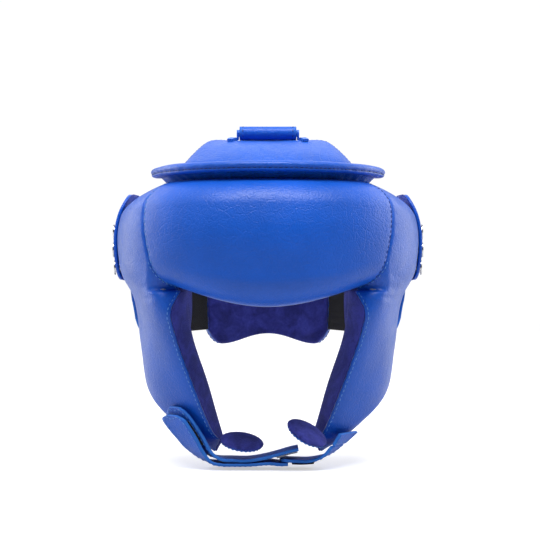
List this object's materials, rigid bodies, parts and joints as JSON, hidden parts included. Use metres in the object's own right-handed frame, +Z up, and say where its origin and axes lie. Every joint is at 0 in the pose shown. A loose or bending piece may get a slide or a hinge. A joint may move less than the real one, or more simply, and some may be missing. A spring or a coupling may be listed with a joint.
{
  "type": "boxing headgear",
  "caption": "Open-face padded leather boxing headgear with suede lining, adjustable crown, sprung back pad, rear wrap straps and a double hook-and-loop chin strap.",
  "frame": {"origin": "centre of the head cavity, level with the wearer's brow", "axes": "-Y is the front of the face, +X is the wearer's left, +Z is up; at rest all straps are closed"},
  "size_m": [0.2448, 0.252, 0.2584],
  "materials": {
    "leather": "semi-gloss grained leather",
    "suede": "brushed suede",
    "foam": "closed-cell foam, soft",
    "elastic": "woven elastic",
    "loop_tape": "loop pile",
    "hook_tape": "hook tape",
    "steel": "polished eyelet"
  },
  "bodies": {
    "shell": {"forehead_cover": "leather", "forehead_foam": "foam", "forehead_lining": "suede", "side_cover_right": "leather", "side_foam_right": "foam", "cheek_foam_right": "foam", "side_lining_right": "suede", "side_cover_left": "leather", "side_foam_left": "foam", "cheek_foam_left": "foam", "side_lining_left": "suede", "ear_guard_right": "leather", "ear_guard_left": "leather", "ear_eyelets_right": "steel", "ear_eyelets_left": "steel", "top_rim": "leather", "rim_gusset": "leather", "crown_front_cover": "leather", "crown_front_foam": "foam", "crown_front_lining": "suede", "crown_keeper": "leather", "elastic_right": "elastic", "elastic_left": "elastic", "side_loop_tape_right": "loop_tape", "side_loop_tape_left": "loop_tape", "chin_anchor": "leather"},
    "back": {"crown_back_cover": "leather", "crown_back_foam": "foam", "crown_back_lining": "suede", "crown_strap_base": "leather", "crown_loop_tape": "loop_tape", "back_pad_cover": "leather", "back_pad_foam": "foam", "back_pad_lining": "suede", "back_strap_base": "leather"},
    "crown_strap": {"crown_strap_end": "leather", "crown_hook_tape": "hook_tape"},
    "back_strap_right": {"back_strap_right": "leather", "back_hook_tape_right": "hook_tape"},
    "back_strap_left": {"back_strap_left": "leather", "back_hook_tape_left": "hook_tape"},
    "chin_flap_right": {"chin_flap_right_cover": "leather", "chin_flap_right_foam": "foam", "chin_flap_right_suede": "suede"},
    "chin_flap_left": {"chin_flap_left_cover": "leather", "chin_flap_left_foam": "foam", "chin_flap_left_suede": "suede"},
    "chin_inner": {"chin_strap_inner": "leather", "chin_inner_loop_tape": "loop_tape", "chin_inner_hook_tape": "hook_tape"},
    "chin_outer": {"chin_strap_outer": "leather", "chin_outer_hook_tape": "hook_tape", "chin_tab": "leather", "chin_tab_loop_tape": "loop_tape"}
  },
  "joints": [
    {"name": "back_pad_swing", "type": "hinge", "parent": "shell", "child": "back", "pos_m": [0, -0.016, 0.10634], "axis": [1, 0, 0], "range_deg": [0, 6], "stiffness_Nm_per_rad": 10, "deforming": ["elastic_right", "elastic_left"]},
    {"name": "crown_strap_peel", "type": "hinge", "parent": "back", "child": "crown_strap", "pos_m": [0, -0.01575, 0.11174], "axis": [1, 0, 0], "range_deg": [0, 100]},
    {"name": "back_strap_right_open", "type": "hinge", "parent": "back", "child": "back_strap_right", "pos_m": [-0.06047, 0.10474, -0.031], "axis": [0.0912, -0.158, -0.9832], "range_deg": [0, 100]},
    {"name": "back_strap_left_open", "type": "hinge", "parent": "back", "child": "back_strap_left", "pos_m": [0.06047, 0.10474, -0.031], "axis": [0.0912, 0.158, 0.9832], "range_deg": [0, 100]},
    {"name": "chin_flap_right_flex", "type": "hinge", "parent": "shell", "child": "chin_flap_right", "pos_m": [-0.0365, -0.068, -0.13], "axis": [0, -1, 0], "range_deg": [-4, 20], "stiffness_Nm_per_rad": 0.03},
    {"name": "chin_flap_left_flex", "type": "hinge", "parent": "shell", "child": "chin_flap_left", "pos_m": [0.042, -0.074, -0.1315], "axis": [0, 1, 0], "range_deg": [-6, 8], "stiffness_Nm_per_rad": 0.03},
    {"name": "chin_outer_open", "type": "hinge", "parent": "shell", "child": "chin_outer", "pos_m": [0.05367, -0.06455, -0.13243], "axis": [-0.342, -0.9397, 0], "range_deg": [0, 110]},
    {"name": "chin_inner_drop", "type": "hinge", "parent": "shell", "child": "chin_inner", "pos_m": [-0.07112, -0.06326, -0.10379], "axis": [-0.6157, 0.788, 0], "range_deg": [0, 24.2]}
  ],
  "couplings": [
    {"joint": "chin_inner_drop", "follows": "chin_outer_open", "ratio": 0.22}
  ]
}
